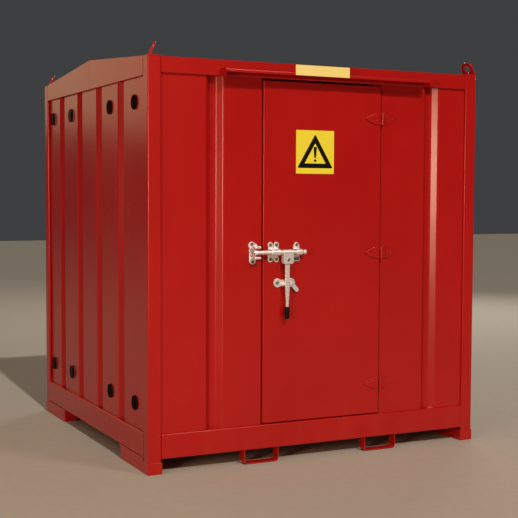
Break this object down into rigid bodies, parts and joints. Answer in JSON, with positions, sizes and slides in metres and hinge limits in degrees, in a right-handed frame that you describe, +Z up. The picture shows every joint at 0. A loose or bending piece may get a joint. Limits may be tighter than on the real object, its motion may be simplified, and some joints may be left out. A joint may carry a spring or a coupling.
{
  "type": "walk-in hazardous materials store",
  "caption": "Walk-in steel store for drums and chemicals: ribbed walls, sump under gratings, fork guides, lifting eyes and a hinged door with a quarter-turn lock bar.",
  "frame": {"origin": "centre of the overall box on the ground plane, between the four feet", "axes": "+Z up, front with the door towards -Y, +X to the right seen from the front"},
  "size_m": [2.191, 2.1552, 2.3832],
  "materials": {
    "red_paint": "glossy signal-red industrial enamel over folded steel, fine orange peel",
    "inner_red_paint": "duller red enamel on inside steel",
    "zinc_hardware": "bright zinc-plated forged and pressed steel",
    "galvanised_steel": "hot-dip galvanised, dull spangle",
    "yellow_plate": "semi-gloss yellow sheet with plain black markings",
    "seal_rubber": "matt black sponge rubber",
    "grip_plastic": "matt black dipped grip"
  },
  "bodies": {
    "store": {"base_rail_front": "red_paint", "base_rail_rear": "red_paint", "base_rail_left": "red_paint", "base_rail_right": "red_paint", "top_rail_front": "red_paint", "top_rail_rear": "red_paint", "gable_left": "red_paint", "gable_right": "red_paint", "post_front_left": "red_paint", "post_front_right": "red_paint", "post_rear_left": "red_paint", "post_rear_right": "red_paint", "foot_front_left": "red_paint", "foot_front_right": "red_paint", "foot_rear_left": "red_paint", "foot_rear_right": "red_paint", "lifting_eye_front_left": "red_paint", "lifting_eye_front_right": "red_paint", "lifting_eye_rear_left": "red_paint", "lifting_eye_rear_right": "red_paint", "fork_guide_front_left": "red_paint", "fork_guide_front_right": "red_paint", "fork_guide_rear_left": "red_paint", "fork_guide_rear_right": "red_paint", "wall_left": "red_paint", "wall_right": "red_paint", "wall_rear": "red_paint", "wall_front_left": "red_paint", "wall_front_right": "red_paint", "roof_front": "red_paint", "roof_rear": "red_paint", "rain_hood": "red_paint", "name_plate": "yellow_plate", "door_jamb_left": "red_paint", "door_jamb_right": "red_paint", "door_header": "red_paint", "door_sill": "red_paint", "sump_floor": "inner_red_paint", "grating_left": "galvanised_steel", "grating_right": "galvanised_steel", "hinge_1_wall_leaf": "red_paint", "hinge_2_wall_leaf": "red_paint", "hinge_3_wall_leaf": "red_paint", "lock_keeper": "zinc_hardware"},
    "door": {"door_leaf": "red_paint", "door_stiffener": "inner_red_paint", "door_seal": "seal_rubber", "hinge_1_door_leaf": "red_paint", "hinge_2_door_leaf": "red_paint", "hinge_3_door_leaf": "red_paint", "rod_bracket_1": "zinc_hardware", "rod_bracket_2": "zinc_hardware", "lever_retainer": "zinc_hardware", "hazard_sign": "yellow_plate"},
    "lock_bar": {"lock_rod": "zinc_hardware"},
    "lever": {"lock_lever": "zinc_hardware", "lever_grip": "grip_plastic"},
    "catch": {"padlock_catch": "zinc_hardware"}
  },
  "joints": [
    {"name": "door_swing", "type": "hinge", "parent": "store", "child": "door", "pos_m": [0.404, -1.00235, 1.204], "axis": [0, 0, 1], "range_deg": [0, 120]},
    {"name": "lock_turn", "type": "hinge", "parent": "door", "child": "lock_bar", "pos_m": [-0.2485, -1.02535, 1.22], "axis": [-1, 0, 0], "range_deg": [0, 110]},
    {"name": "lever_swing", "type": "hinge", "parent": "lock_bar", "child": "lever", "pos_m": [-0.2505, -1.02535, 1.178], "axis": [0, 1, 0], "range_deg": [0, 20]},
    {"name": "catch_swing", "type": "hinge", "parent": "door", "child": "catch", "pos_m": [-0.2105, -1.00195, 1.037], "axis": [0, 1, 0], "range_deg": [-48, 40]}
  ]
}
